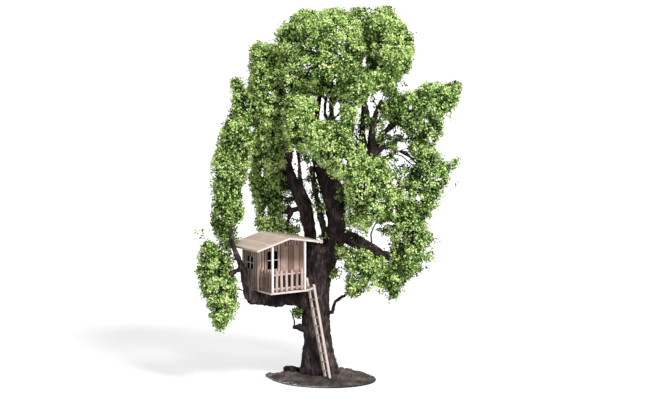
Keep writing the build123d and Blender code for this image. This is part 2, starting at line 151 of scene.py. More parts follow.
def object_place(finish, scale):
    """The point on the piece, stretched by a scale along each axis."""
    place = add_node(finish, "ShaderNodeTexCoord", output=3)
    return add_node(finish, "ShaderNodeMapping", Vector=place, Scale=scale)


def place_along(finish, axis):
    """Where a point of the piece is along axis 0, 1 or 2 (X, Y or Z), in metres."""
    place = add_node(finish, "ShaderNodeTexCoord", output=3)
    return add_node(finish, "ShaderNodeSeparateXYZ", output=axis, Vector=place)


def noise_over(finish, scale, **inputs):
    """Noise over the piece, stretched by a scale along each axis."""
    return add_node(finish, "ShaderNodeTexNoise", Vector=object_place(finish, scale),
                    Scale=1.0, **inputs)


def shaded_by(finish, colour, measure, **limits):
    """A colour whose brightness follows a measure, between the limits given."""
    brightness = add_node(finish, "ShaderNodeMapRange", Value=measure, **limits)
    return add_node(finish, "ShaderNodeHueSaturation", Color=colour, Value=brightness)


def plain_finish(name, rgb):
    """A matt finish of one colour."""
    finish = new_finish(name, roughness=0.9, specular=0.1)
    shader = finish.node_tree.nodes["Principled BSDF"]
    shader.inputs["Base Color"].default_value = (*rgb, 1)
    return finish


# %% [markdown]
# The bark is plaster over wire, carved and stained nearly black with a purple-brown tint.
# Fine ridges run up the limbs, so the noise is stretched along Z, and the raised parts
# are a little paler, as where stain has worn off.

# %% Bark finish
bark_finish = new_finish("bark_finish", roughness=0.82, specular=0.22)
ridges = noise_over(bark_finish, (520, 520, 130), Detail=5.0, Roughness=0.62)
patches = noise_over(bark_finish, (90, 90, 60), Detail=3.0)
to_shader(bark_finish, "Base Color", ramp(
    bark_finish, arithmetic(bark_finish, "MULTIPLY", ridges, patches),
    (0.15, (0.007, 0.0050, 0.0055)), (0.24, (0.032, 0.0210, 0.0220)),
    (0.32, (0.085, 0.0600, 0.0600)), (0.43, (0.210, 0.1700, 0.1700)),
))
to_shader(bark_finish, "Normal", add_node(
    bark_finish, "ShaderNodeBump", Strength=0.9, Distance=0.0011, Height=ridges))
print("made", bark_finish.name)


# %% [markdown]
# The ground plate is stained filler with grit pressed in: grey-brown on top and darker where
# the grit is deep. Its thin rim is dark, with a painted highlight along its upper part at the
# left end, so the height on the piece chooses between two ramps and the place along it dims
# the second. Both are in metres.

# %% Ground finish
ground_finish = new_finish("ground_finish", roughness=0.92, specular=0.15)
RIM_FINISH_TOP = 0.0017
RIM_HIGHLIGHT_ENDS = (-0.036, -0.020)
grit = noise_over(ground_finish, (700, 700, 700), Detail=6.0, Roughness=0.7)
soil = noise_over(ground_finish, (60, 60, 60), Detail=4.0)
soil_colour = ramp(
    ground_finish, arithmetic(ground_finish, "MULTIPLY", grit, soil),
    (0.12, (0.018, 0.013, 0.012)), (0.25, (0.075, 0.060, 0.054)), (0.42, (0.210, 0.180, 0.160)))
above = place_along(ground_finish, 2)
# Painted highlight: the upper part of the rim is pale, and stays pale only at the left end.
rim_stain_and_highlight = ramp(
    ground_finish, arithmetic(ground_finish, "MULTIPLY", above, 400.0),
    (0.24, (0.020, 0.016, 0.020)), (0.36, (0.340, 0.310, 0.330)), (0.62, (0.420, 0.390, 0.410)))
rim_stain_and_highlight = shaded_by(
    ground_finish, rim_stain_and_highlight, place_along(ground_finish, 0),
    From_Min=RIM_HIGHLIGHT_ENDS[0], From_Max=RIM_HIGHLIGHT_ENDS[1], To_Min=1.0, To_Max=0.11)
on_rim = arithmetic(ground_finish, "LESS_THAN", above, RIM_FINISH_TOP)
to_shader(ground_finish, "Base Color", add_node(
    ground_finish, "ShaderNodeMix", output=2, settings={"data_type": "RGBA"},
    _0=on_rim, _6=soil_colour, _7=rim_stain_and_highlight))
to_shader(ground_finish, "Normal", add_node(
    ground_finish, "ShaderNodeBump", Strength=0.7, Distance=0.0005, Height=grit))
print("made", ground_finish.name)


# %% [markdown]
# The house is made of thin strips of wood. All its finishes share one recipe: a pale and a
# dark tone, long grain streaks along the boards, and a tint that differs from board to
# board, which each boarded piece carries on its faces as the attribute board_tint. The
# porch wall and door also carry painted shade: they are darkened up to the height of the
# railing.

# %% Wood finishes
ALONG_X, ALONG_Y, ALONG_Z = (120, 1500, 1500), (1500, 120, 1500), (1500, 1500, 120)
PAINTED_SHADE_FADE = 6.0


def wood_finish(name, pale, dark, grain, worn=0.5, painted_shade_up_to=0.0):
    """Wood with its grain along one axis; worn sets how strong the streaks are, and the last
    argument, a height in mm, darkens the wood below it as painted shade.
    """
    finish = new_finish(name, roughness=0.68, specular=0.25)
    streaks = noise_over(finish, grain, Detail=6.0, Roughness=0.65, Distortion=0.3)
    stain = noise_over(finish, (110, 110, 70), Detail=3.0)
    tint = add_node(
        finish, "ShaderNodeAttribute", output=2, settings={"attribute_name": "board_tint"})
    shade = arithmetic(finish, "MULTIPLY", stain, 0.5)
    shade = arithmetic(finish, "MULTIPLY_ADD", tint, 0.35, shade)
    shade = arithmetic(finish, "MULTIPLY_ADD", streaks, worn, shade)
    colour = ramp(finish, shade, (0.38, pale), (0.92, dark))
    # Painted shade: below the height the colour is darkened to a twentieth, fading in over a few
    # millimetres.
    if painted_shade_up_to:
        colour = shaded_by(
            finish, colour, place_along(finish, 2), From_Min=(painted_shade_up_to - PAINTED_SHADE_FADE) * MM,
            From_Max=painted_shade_up_to * MM, To_Min=0.05, To_Max=1.0)
    to_shader(finish, "Base Color", colour)
    to_shader(finish, "Normal", add_node(
        finish, "ShaderNodeBump", Strength=0.5, Distance=0.0002, Height=streaks))
    return finish


deck_low, deck_high = (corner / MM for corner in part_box("deck"))
# The painted shade on the porch wall and door reaches 17 mm above the deck.
PAINTED_SHADE_TOP = deck_high.z + 17.0
wall_finish = wood_finish("wall_finish", (0.93, 0.77, 0.67), (0.40, 0.265, 0.215), ALONG_Z, 0.65)
porch_finish = wood_finish(
    "porch_finish", (0.95, 0.79, 0.71), (0.44, 0.280, 0.225), ALONG_Z, 0.7, painted_shade_up_to=PAINTED_SHADE_TOP)
door_finish = wood_finish(
    "door_finish", (0.86, 0.66, 0.57), (0.38, 0.225, 0.175), ALONG_Z, 0.65, painted_shade_up_to=PAINTED_SHADE_TOP)
roof_finish = wood_finish("roof_finish", (0.74, 0.60, 0.51), (0.42, 0.315, 0.250), ALONG_Y, 0.4)
edge_finish = wood_finish("edge_finish", (0.93, 0.86, 0.82), (0.70, 0.580, 0.520), ALONG_X, 0.4)
strip_finish = wood_finish("strip_finish", (0.97, 0.95, 0.94), (0.86, 0.800, 0.770), ALONG_Z, 0.35)
corner_finish = wood_finish("corner_finish", (0.70, 0.56, 0.48), (0.34, 0.225, 0.180), ALONG_Z, 0.6)
rail_finish = wood_finish("rail_finish", (0.86, 0.70, 0.63), (0.38, 0.250, 0.200), ALONG_Z, 0.5)
# Painted shade: the side railing gets a darker copy of the rail finish, as it stands in shade.
side_rail_painted_shade_finish = wood_finish(
    "side_rail_painted_shade_finish", (0.50, 0.34, 0.28), (0.20, 0.120, 0.095), ALONG_Z, 0.5)
ladder_finish = wood_finish("ladder_finish", (0.82, 0.69, 0.63), (0.36, 0.260, 0.220), ALONG_Z, 0.5)
# Painted shade: the deck boards are darker than the other wood, as the deck lies low in the porch's
# shade.
deck_painted_shade_finish = wood_finish("deck_painted_shade_finish", (0.50, 0.37, 0.31), (0.20, 0.120, 0.090), ALONG_Y, 0.5)
joint_finish = plain_finish("joint_finish", (0.030, 0.016, 0.013))
# Painted shade: the faces inside the room and the back of the door are near black.
inside_painted_shade_finish = plain_finish("inside_painted_shade_finish", (0.022, 0.016, 0.014))
print("finishes:", len([m for m in bpy.data.materials if "finish" in m.name]))


# %% [markdown]
# Each leaf flake has its own colour, stored on its corners, so one finish serves them all.
# The flakes are matt, dyed foam, with no more gloss than paper.

# %% Leaf finish
leaf_finish = new_finish("leaf_finish", roughness=0.75, specular=0.2)
leaf_colour = add_node(
    leaf_finish, "ShaderNodeAttribute", settings={"attribute_name": "leaf_colour"})
flecks = noise_over(leaf_finish, (1100, 1100, 1100), Detail=2.0)
to_shader(leaf_finish, "Base Color", shaded_by(
    leaf_finish, leaf_colour, flecks, To_Min=0.72, To_Max=1.28))
print("made", leaf_finish.name)


# %% [markdown]
# A new piece often starts as a copy of a CAD node. The copy is merged, because the packed
# mesh is loose triangles, and its flat faces are joined up again before anything is cut.

# %% Helpers for pieces
def only(piece):
    """Selects one piece alone."""
    bpy.ops.object.select_all(action="DESELECT")
    piece.select_set(True)
    bpy.context.view_layer.objects.active = piece
    return piece


def copy_nodes(name, *nodes, flat=True):
    """One new piece from merged copies of CAD nodes, which stay as they are."""
    bpy.ops.object.select_all(action="DESELECT")
    for node in nodes:
        copy = bpy.data.objects.new(name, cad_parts[node].data.copy())
        bpy.context.scene.collection.objects.link(copy)
        copy.select_set(True)
        bpy.context.view_layer.objects.active = copy
    if len(nodes) > 1:
        bpy.ops.object.join()
    piece = bpy.context.view_layer.objects.active
    piece.name = name
    bpy.ops.mesh.customdata_custom_splitnormals_clear()
    bpy.ops.object.mode_set(mode="EDIT")
    bpy.ops.mesh.select_all(action="SELECT")
    bpy.ops.mesh.remove_doubles(threshold=0.01 * MM)
    if flat:
        bpy.ops.mesh.dissolve_limited(angle_limit=math.radians(0.5))
    bpy.ops.object.mode_set(mode="OBJECT")
    piece.data.materials.clear()
    return piece


def join_parts(parts, name):
    """Joins parts into the first of them and names it."""
    only(parts[0])
    for part in parts[1:]:
        part.select_set(True)
    bpy.ops.object.join()
    parts[0].name = name
    return parts[0]


def apply_modifier(piece, kind, **settings):
    """Adds a modifier, sets it and applies it."""
    only(piece)
    modifier = piece.modifiers.new(kind.title(), kind)
    for key, value in settings.items():
        setattr(modifier, key, value)
    bpy.ops.object.modifier_apply(modifier=modifier.name)


def finish_piece(piece, finishes, stands_for=(), body="tree"):
    """Gives a piece one finish or more, and says what it stands for and moves with."""
    piece.data.materials.clear()
    for finish in finishes if isinstance(finishes, tuple) else (finishes,):
        piece.data.materials.append(finish)
    if stands_for:
        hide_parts(*stands_for)
    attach(piece, body)
    piece.data.calc_loop_triangles()
    print(piece.name, len(piece.data.loop_triangles), "triangles")


def paint_faces(piece, index, picks):
    """Gives another of the piece's finishes to the faces whose centre and normal picks takes."""
    for polygon in piece.data.polygons:
        if picks(polygon.center / MM, polygon.normal):
            polygon.material_index = index


# %% [markdown]
# The trunk and limbs are one carved mass on the real model, with no seam where a limb
# leaves the trunk. The CAD limbs end square against each other, so their copies are joined
# and voxel-remeshed into one skin. Roots are added first, as cones pushed into the trunk's
# foot, and so are burls, balls that give the limb under the house its uneven belly.

# %% Trunk and limbs
WOOD_NODES = (
    "trunk", "left_leader", "right_leader", "upper_right_limb", "right_arm_limb",
    "low_right_limb", "house_limb", "rising_limb", "hanging_twig", "front_limbs", "back_limbs",
    "trunk_twigs", "root_stub",
)
ROOTS = (
    (-100, 17, 7.5), (-60, 17, 6.5), (-15, 15, 7.0), (30, 16, 6.5), (75, 18, 8.0),
    (120, 18, 6.5), (165, 15, 7.0), (215, 16, 6.5),
)
BURLS = (
    (-63.0, 4.0, 84.9, 6.3), (-57.0, 3.5, 83.6, 6.3),
    (-51.0, 3.0, 82.4, 6.3), (-45.5, 2.5, 82.2, 6.3),
)


def add_root(angle, reach, thickness):
    """A root: a cone leaning from the side of the trunk down to the ground."""
    a = math.radians(angle)
    foot = Vector((math.cos(a) * reach, math.sin(a) * reach, 4.5)) * MM
    head = Vector((math.cos(a) * 8, math.sin(a) * 8, 38)) * MM
    run = head - foot
    bpy.ops.mesh.primitive_cone_add(
        vertices=14, radius1=thickness * 0.62 * MM, radius2=2.0 * MM, depth=run.length * 1.1,
        location=(foot + head) / 2, rotation=run.to_track_quat("Z", "Y").to_euler(),
    )
    root = bpy.context.object
    bpy.ops.object.transform_apply(location=True, rotation=True, scale=True)
    return root


bark = copy_nodes("tree_bark", *WOOD_NODES, flat=False)
swellings = [add_root(*root) for root in ROOTS]
for *place, radius in BURLS:
    bpy.ops.mesh.primitive_ico_sphere_add(
        subdivisions=3, radius=radius * MM, location=Vector(place) * MM)
    swellings.append(bpy.context.object)
bark = join_parts([bark, *swellings], "tree_bark")
apply_modifier(bark, "REMESH", mode="VOXEL", voxel_size=0.95 * MM, use_smooth_shade=True)
apply_modifier(bark, "SMOOTH", factor=0.6, iterations=3)
print("bark skin:", len(bark.data.vertices), "points")


# %% [markdown]
# Bark relief is modelled, not only painted, because it shows in the outline. A Displace
# modifier moves the skin along its normals by a cloud texture: large lumps first, then
# ridges, whose texture space is an empty squeezed across so that they run up the tree.

# %% Bark relief
def relief(piece, name, size, strength, kind="CLOUDS", stretch=1.0, group=""):
    """Moves a piece's surface by a procedural texture, stretched along Z if asked."""
    texture = bpy.data.textures.new(name, kind)
    texture.noise_scale = size * MM
    bpy.ops.object.select_all(action="DESELECT")
    bpy.ops.object.empty_add(location=(0, 0, 0))
    space = bpy.context.object
    space.scale = (1.0, 1.0, stretch)
    bpy.context.view_layer.update()
    apply_modifier(piece, "DISPLACE", texture=texture, texture_coords="OBJECT",
                   texture_coords_object=space, strength=strength * MM, mid_level=0.5,
                   vertex_group=group)
    bpy.data.objects.remove(space)


relief(bark, "bark_lumps", 14.0, 3.0, stretch=1.8)
relief(bark, "bark_ridges", 3.2, 2.8, stretch=4.5)
relief(bark, "bark_scales", 1.5, 1.3, stretch=2.0)
only(bark)
bpy.ops.object.shade_smooth()
finish_piece(bark, bark_finish, WOOD_NODES)


# %% [markdown]
# The ground plate keeps its flat underside and thin rim, and its top is rough. Lumps of soil
# are flattened balls set on random points of its slope. The voxel remesh joins them to it,
# and then only the points above the rim, held in a vertex group, are moved.

# %% Ground plate
SOIL_LUMPS = 46
LUMPS_ABOVE, LUMPS_BEYOND = 2.4, 22
RELIEF_ABOVE = 1.5
rng = np.random.default_rng(3)
plate = copy_nodes("ground_cover", "ground_plate", flat=False)
apply_modifier(plate, "REMESH", mode="VOXEL", voxel_size=0.9 * MM)
slope_points = [
    v.co.copy() for v in plate.data.vertices
    if v.co.z > LUMPS_ABOVE * MM and v.co.xy.length > LUMPS_BEYOND * MM
]
lumps = []
for index in rng.choice(len(slope_points), SOIL_LUMPS, replace=False):
    bpy.ops.mesh.primitive_ico_sphere_add(
        subdivisions=2, radius=rng.uniform(1.2, 3.0) * MM, location=slope_points[index])
    lump = bpy.context.object
    lump.scale = (rng.uniform(0.9, 1.6), rng.uniform(0.9, 1.6), rng.uniform(0.45, 0.8))
    bpy.ops.object.transform_apply(location=True, rotation=True, scale=True)
    lumps.append(lump)
plate = join_parts([plate, *lumps], "ground_cover")
apply_modifier(plate, "REMESH", mode="VOXEL", voxel_size=0.8 * MM, use_smooth_shade=True)
top_group = plate.vertex_groups.new(name="top")
high_enough = [v.index for v in plate.data.vertices if v.co.z > RELIEF_ABOVE * MM]
top_group.add(high_enough, 1.0, "REPLACE")
relief(plate, "ground_lumps", 8.0, 2.8, group="top")
relief(plate, "ground_grit", 2.0, 1.7, group="top")
only(plate)
bpy.ops.object.shade_smooth()
finish_piece(plate, ground_finish, ["ground_plate"])


# %% [markdown]
# The walls are narrow upright boards with dark joints. A joint is a real V groove: the
# face is bisected at the joint and just beside it, and the middle line is pushed in.

# %% Board joints
BOARD_WIDTH = 3.15
GROOVE_HALF = 0.42
GROOVE_DEPTH = 0.70
AXES = {"x": 0, "y": 1, "z": 2}


def joints_between(low, high, width=BOARD_WIDTH):
    """Places of the joints between equal boards, as near to a width as fits."""
    count = max(1, round((high - low) / width))
    return [low + (high - low) * i / count for i in range(1, count)]


def cut_boards(piece, along, joints, on_face, inward, half=GROOVE_HALF):
    """Cuts grooves across an axis into the face that on_face picks out."""
    axis = AXES[along]
    normal = Vector([1.0 if i == axis else 0.0 for i in range(3)])
    only(piece)
    bpy.ops.object.mode_set(mode="EDIT")
    bpy.ops.mesh.select_mode(type="VERT")
    for joint in joints:
        for place in (joint - half, joint, joint + half):
            bpy.ops.mesh.select_all(action="SELECT")
            bpy.ops.mesh.bisect(
                plane_co=normal * place * MM, plane_no=normal, threshold=0.001 * MM)
    bpy.ops.mesh.select_all(action="DESELECT")
    mesh = bmesh.from_edit_mesh(piece.data)
    for vertex in mesh.verts:
        place = vertex.co / MM
        vertex.select = on_face(place) and any(abs(place[axis] - joint) < 0.02 for joint in joints)
    mesh.select_flush(True)
    bmesh.update_edit_mesh(piece.data)
    bpy.ops.transform.translate(value=Vector(inward) * MM)
    bpy.ops.object.mode_set(mode="OBJECT")


def tint_boards(piece, along, joints, seed):
    """Stores a tint for each board on its faces."""
    rng = np.random.default_rng(seed)
    tints = rng.uniform(0.0, 1.0, len(joints) + 1)
    values = []
    for polygon in piece.data.polygons:
        board = sum(polygon.center[AXES[along]] / MM > joint for joint in joints)
        values.append(tints[board])
    attribute = piece.data.attributes.new("board_tint", "FLOAT", "FACE")
    attribute.data.foreach_set("value", np.array(values, np.float32))


# %% [markdown]
# Each wall is copied, grooved on its outer face and tinted board by board. The house turns
# its front to -Y, so the porch wall is grooved on that side and the others on theirs. The
# room side is painted near black as painted shade, and the joints are dark too, which read
# as shadow lines.

# %% Walls
WALL_FACES = {
    "left_wall": ("y", "x", -1), "right_wall": ("y", "x", 1), "back_wall": ("x", "y", 1),
    "front_wall": ("x", "y", -1), "door_side_wall": ("x", "y", -1), "door_header": ("x", "y", -1),
}
for seed, (node, (along, facing, side)) in enumerate(WALL_FACES.items()):
    low, high = (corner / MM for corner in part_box(node))
    outer = (high if side > 0 else low)[AXES[facing]]
    joints = joints_between(low[AXES[along]], high[AXES[along]])
    inward = [0.0, 0.0, 0.0]
    inward[AXES[facing]] = -side * GROOVE_DEPTH
    wall = copy_nodes(node + "_boards", node)
    cut_boards(wall, along, joints, lambda p: abs(p[AXES[facing]] - outer) < 0.02, inward)
    tint_boards(wall, along, joints, seed)
    face_finish = porch_finish if facing == "y" and side < 0 else wall_finish
    finish_piece(wall, (face_finish, inside_painted_shade_finish, joint_finish), [node])
    # Painted shade: the room side of each wall is near black.
    paint_faces(wall, 1, lambda centre, normal: normal[AXES[facing]] * side < -0.9)
    paint_faces(wall, 2, lambda centre, normal: (
        abs(centre[AXES[facing]] - outer) < GROOVE_DEPTH
        and any(abs(centre[AXES[along]] - joint) < GROOVE_HALF for joint in joints)))


# %% [markdown]
# The roof's boards lie along the eaves, with fine joints. The groove is cut into the upper
# face of each slope, which the test finds from the slope's own line. The gable edges are a
# paler cut of wood.

# %% Roof
ROOF_BOARD_WIDTH = 6.4
ROOF_THICKNESS = 1.86
FINE_GROOVE_HALF = 0.2
for seed, (node, side) in enumerate((("roof_left", -1), ("roof_right", 1))):
    low, high = (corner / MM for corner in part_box(node))
    ridge = high.x if side < 0 else low.x
    eave_height = low.z + ROOF_THICKNESS
    slope = (high.z - eave_height) / (high.x - low.x)
    joints = joints_between(low.x, high.x, ROOF_BOARD_WIDTH)
    roof = copy_nodes(node + "_boards", node)
    cut_boards(roof, "x", joints, lambda p: abs(p.z - (high.z - abs(p.x - ridge) * slope)) < 0.05,
               (0, 0, -0.3), half=FINE_GROOVE_HALF)
    tint_boards(roof, "x", joints, 20 + seed)
    finish_piece(roof, (roof_finish, edge_finish), [node])
    paint_faces(roof, 1, lambda centre, normal: abs(normal.y) > 0.9)


# %% [markdown]
# The deck is boarded from front to back, and its edges are rounded a little, as a bevel
# catches the light along the front. The corner strips, the posts and the ladder get the
# same small bevel, because no hand-cut strip has a perfectly sharp edge.

# %% Deck, corner strips, posts and ladder
DECK_BOARD_WIDTH = 4.2
deck = copy_nodes("deck_boards", "deck")
apply_modifier(deck, "BEVEL", width=0.25 * MM, segments=2, limit_method="ANGLE")
deck_joints = joints_between(deck_low.x, deck_high.x, DECK_BOARD_WIDTH)
cut_boards(deck, "x", deck_joints, lambda p: abs(p.z - deck_high.z) < 0.02,
           (0, 0, -0.35), half=FINE_GROOVE_HALF)
tint_boards(deck, "x", deck_joints, 31)
finish_piece(deck, (deck_painted_shade_finish, edge_finish), ["deck"])
paint_faces(deck, 1, lambda centre, normal: abs(normal.z) < 0.8)

for name, node, finish, slot in (
    ("corner_trim", "corner_strips", corner_finish, "pale_strip"),
    ("porch_post_pair", "porch_posts", strip_finish, "pale_strip"),
    ("ladder_front_side", "ladder_front_stile", ladder_finish, "pale_strip"),
    ("ladder_back_side", "ladder_back_stile", ladder_finish, "pale_strip"),
):
    strip = copy_nodes(name, node)
    apply_modifier(strip, "BEVEL", width=0.2 * MM, segments=2, limit_method="ANGLE")
    finish_piece(strip, finish, [node])
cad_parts["ladder_rungs"].data.materials.clear()
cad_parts["ladder_rungs"].data.materials.append(ladder_finish)


# %% [markdown]
# The door is three wide boards on two ledges, browner than the wall. Its joints are in the
# CAD solid, so its copy only needs softer edges and a tint for each board.

# %% Door
DOOR_BOARDS = 3
door = copy_nodes("door_leaf_boards", "door")
apply_modifier(door, "BEVEL", width=0.12 * MM, segments=2, limit_method="ANGLE")
door_low, door_high = (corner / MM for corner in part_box("door"))
door_board_width = (door_high.x - door_low.x) / DOOR_BOARDS
tint_boards(door, "x", joints_between(door_low.x, door_high.x, door_board_width), 8)
finish_piece(
    door, (door_finish, inside_painted_shade_finish, joint_finish), ["door"], body="door_leaf")
# Painted shade: the door's back, on the room side, is near black.
paint_faces(door, 1, lambda centre, normal: normal.y > 0.9)
paint_faces(door, 2, lambda centre, normal: abs(normal.x) > 0.4 and normal.y < -0.4)


# %% [markdown]
# A window here is a hole with two crossed bars of thin strip, let a little way into it. The
# panes are open, and look dark because the room's inner faces are painted near black, as painted
# shade.

# %% Window bars
BAR_WIDTH = 0.8
BAR_THICKNESS = 0.7
BAR_SET_BACK = 0.3


def add_box(low, high):
    """A box between two corners, in millimetres."""
    low, high = Vector(low), Vector(high)
    bpy.ops.mesh.primitive_cube_add(size=1.0, location=(low + high) / 2 * MM)
    box = bpy.context.object
    box.scale = (high - low) * MM
    bpy.ops.object.transform_apply(location=True, rotation=True, scale=True)
    return box


def window_bars(name, centre, width, height, facing):
    """An upright and a level bar across an opening in a wall that faces -X or -Y."""
    across, along = AXES[facing], 1 - AXES[facing]
    bars = []
    for half_along, half_up in ((BAR_WIDTH / 2, height / 2), (width / 2, BAR_WIDTH / 2)):
        low, high = list(centre), list(centre)
        low[along], high[along] = centre[along] - half_along, centre[along] + half_along
        low[2], high[2] = centre[2] - half_up, centre[2] + half_up
        low[across] = centre[across] + BAR_SET_BACK
        high[across] = low[across] + BAR_THICKNESS
        bars.append(add_box(low, high))
    piece = join_parts(bars, name)
    apply_modifier(piece, "BEVEL", width=0.1 * MM, segments=1, limit_method="ANGLE")
    finish_piece(piece, strip_finish)


window_bars("front_window_bars", (-57.15, -0.5, 124.0), width=12.5, height=18.0, facing="y")
window_bars("left_window_bars", (-75.0, 14.6, 121.5), width=13.0, height=13.0, facing="x")


# %% [markdown]
# The railing pickets are short boards with rounded heads, cut by hand, so no two stand
# quite alike. One picket is modelled: a box whose top face is drawn up and narrowed twice.
# Its copies are turned and shifted by a seeded random amount, and joined to the rails.

# %% Railings
PICKET_WIDTH, PICKET_THICKNESS = 2.6, 1.0
PICKET_FOOT, PICKET_SHOULDER = 1.0, 19.6
RAIL_HEIGHTS = (2.6, 16.5)
RAIL_DEPTH, RAIL_THICKNESS = 1.5, 1.2
rng = np.random.default_rng(5)


def add_picket():
    """One picket at the origin, facing -Y, with a rounded head."""
    half = PICKET_WIDTH / 2
    picket = add_box((-half, -PICKET_THICKNESS, PICKET_FOOT), (half, 0, PICKET_SHOULDER))
    bpy.ops.object.mode_set(mode="EDIT")
    bpy.ops.mesh.select_mode(type="FACE")
    mesh = bmesh.from_edit_mesh(picket.data)
    for face in mesh.faces:
        face.select = face.normal.z > 0.9
    bmesh.update_edit_mesh(picket.data)
    for rise, narrow in ((1.1, 0.86), (0.8, 0.5)):
        bpy.ops.mesh.extrude_region_move(TRANSFORM_OT_translate={"value": (0, 0, rise * MM)})
        bpy.ops.transform.resize(value=(narrow, 1.0, 1.0))
    bpy.ops.object.mode_set(mode="OBJECT")
    return picket


def add_railing(name, node, along, count, start, end, line, finish):
    """A railing between two places on an axis: rails, and pickets on their outer side."""
    parts = []
    deck_top = deck_high.z
    for height in RAIL_HEIGHTS:
        low, high = [0.0, 0.0, deck_top + height], [0.0, 0.0, deck_top + height + RAIL_DEPTH]
        low[AXES[along]], high[AXES[along]] = start, end
        across = 1 - AXES[along]
        low[across], high[across] = line, line + RAIL_THICKNESS
        parts.append(add_box(low, high))
    pitch = (end - start) / count
    for i in range(count):
        picket = add_picket()
        middle = start + pitch * (i + 0.5) + rng.uniform(-0.12, 0.12)
        turn = 0.0 if along == "x" else -math.pi / 2
        place = (middle, line, deck_top) if along == "x" else (line, middle, deck_top)
        picket.rotation_euler = (0.0, rng.uniform(-0.02, 0.02) if along == "x" else 0.0, turn)
        picket.location = (Vector(place) + Vector((0, 0, rng.uniform(-0.5, 0.3)))) * MM
        bpy.ops.object.transform_apply(location=True, rotation=True, scale=True)
        parts.append(picket)
    railing = join_parts(parts, name)
    apply_modifier(railing, "BEVEL", width=0.15 * MM, segments=2, limit_method="ANGLE")
    tint_boards(railing, along, [start + pitch * (i + 1) for i in range(count - 1)], count)
    finish_piece(railing, finish, [node])


for name, node, along, count, finish in (
    ("front_railing_pickets", "front_railing", "x", 6, rail_finish),
    ("side_railing_pickets", "side_railing", "y", 4, side_rail_painted_shade_finish),
):
    low, high = (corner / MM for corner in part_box(node))
    line = low[1 - AXES[along]] + PICKET_THICKNESS
    add_railing(name, node, along, count, low[AXES[along]], high[AXES[along]], line, finish)


# %% [markdown]
# The foliage is foam flakes glued to a net of fine twigs. Each CAD mass says where a
# clump is. Its surface is read as triangles, and places are drawn at random on it, each
# with the way out of the mass, so that leaves and twigs can be set just under the surface.

# %% Places in a clump of foliage
FOLIAGE_NODES = (
    "crown_foliage", "right_crown_foliage", "left_shoulder_foliage", "left_middle_foliage",
    "far_left_foliage", "hanging_left_foliage", "middle_foliage", "right_middle_foliage",
    "right_arm_foliage", "right_side_foliage", "right_low_foliage", "skirt_foliage",
    "back_foliage", "tufts",
)


def places_on(node, count, rng):
    """Random places on a CAD mass, the outward normal at each, and the mass's area."""
    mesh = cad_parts[node].data
    mesh.calc_loop_triangles()
    corners = np.array([
        [mesh.vertices[i].co for i in t.vertices] for t in mesh.loop_triangles]) / MM
    normals = np.cross(corners[:, 1] - corners[:, 0], corners[:, 2] - corners[:, 0])
    areas = np.linalg.norm(normals, axis=1)
    chosen = rng.choice(len(areas), count, p=areas / areas.sum())
    u, v = rng.random(count), rng.random(count)
    swap = u + v > 1
    u[swap], v[swap] = 1 - u[swap], 1 - v[swap]
    a, b, c = corners[chosen, 0], corners[chosen, 1], corners[chosen, 2]
    places = a + (b - a) * u[:, None] + (c - a) * v[:, None]
    return places, normals[chosen] / areas[chosen, None], areas.sum() / 2


def clumpiness(places, size, seed):
    """Smooth noise from -1 to 1 at each place, with lumps of a size in millimetres."""
    shift = Vector((seed * 7.3, seed * 3.1, seed * 5.7))
    return np.array([noise.noise(Vector(p) / size + shift) for p in places])


# %% [markdown]
# Some gaps go right through the tree, as between real clumps. Each is an oval, measured in
# the upright plane that faces the camera, and no leaf is set in front of it or behind it.
# Shades are ovals too: hollows under a clump, where leaves are few and painted dark as painted
# shade.

# %% Gaps and shades between the clumps
GAPS = (
    (12, 122, 2, 8), (2, 95, 6, 12), (15, 92, 3, 9), (47, 95, 5, 9), (57, 104, 5, 8),
    (34, 67, 4, 16), (43, 64, 3, 8), (79, 46, 6, 10), (66, 74, 6, 7), (-28, 42, 4, 19),
    (-18, 31, 4, 10), (-70, 72, 3, 4), (-4, -22, 5, 12), (32, -31, 10, 7), (60, -43, 12, 9),
    (-27, -13, 3, 10), (-74, -6, 4, 32), (72, 20, 3, 5), (96, 4, 4, 4), (22, 40, 3, 6),
    (-52, 108, 3, 4), (88, 92, 3, 5),
    (-14, 197, 14, 5), (89, 174, 5, 9), (-101, 90, 5, 11), (-116, -28, 5, 12), (-79, 147, 5, 11),
    (124, 82, 5, 10), (130, 24, 5, 9), (-72, 162, 9, 4), (42, 16, 2, 7), (58, 0, 6, 2),
    (72, -8, 2, 6), (84, 8, 2, 5), (48, -12, 5, 2), (-60, 28, 2, 7), (42, 139, 2, 7),
    (68, -22, 6, 2), (52, -22, 2, 5), (66, 16, 3, 3), (34, 4, 2, 6), (108, 62, 2, 6),
    (118, 22, 3, 2), (-56, -10, 2, 6),
)
SHADES = (
    (-31, 113, 9, 7), (8, 116, 15, 7), (46, 138, 8, 9), (-52, 4, 9, 26), (62, 38, 7, 10),
    (20, 78, 8, 9), (52, 92, 9, 16), (-30, -8, 8, 16), (74, 72, 9, 12), (-8, 12, 8, 26),
    (52, 6, 8, 4), (38, -4, 5, 7), (66, -12, 7, 5), (42, 140, 7, 8), (92, 30, 7, 10),
    (-78, 100, 5, 8), (30, 128, 7, 6),
)
eye = np.array(camera.location) / MM
look = -np.array(toward_camera)
look_right = np.cross(look, [0, 0, 1])
look_right /= np.linalg.norm(look_right)
look_up = np.cross(look_right, look)


def across_and_up(points):
    """Where points stand across and up, in the plane that faces the camera."""
    away = points - eye
    scale = CAMERA_DISTANCE / MM / (away @ look)
    return away @ look_right * scale, away @ look_up * scale


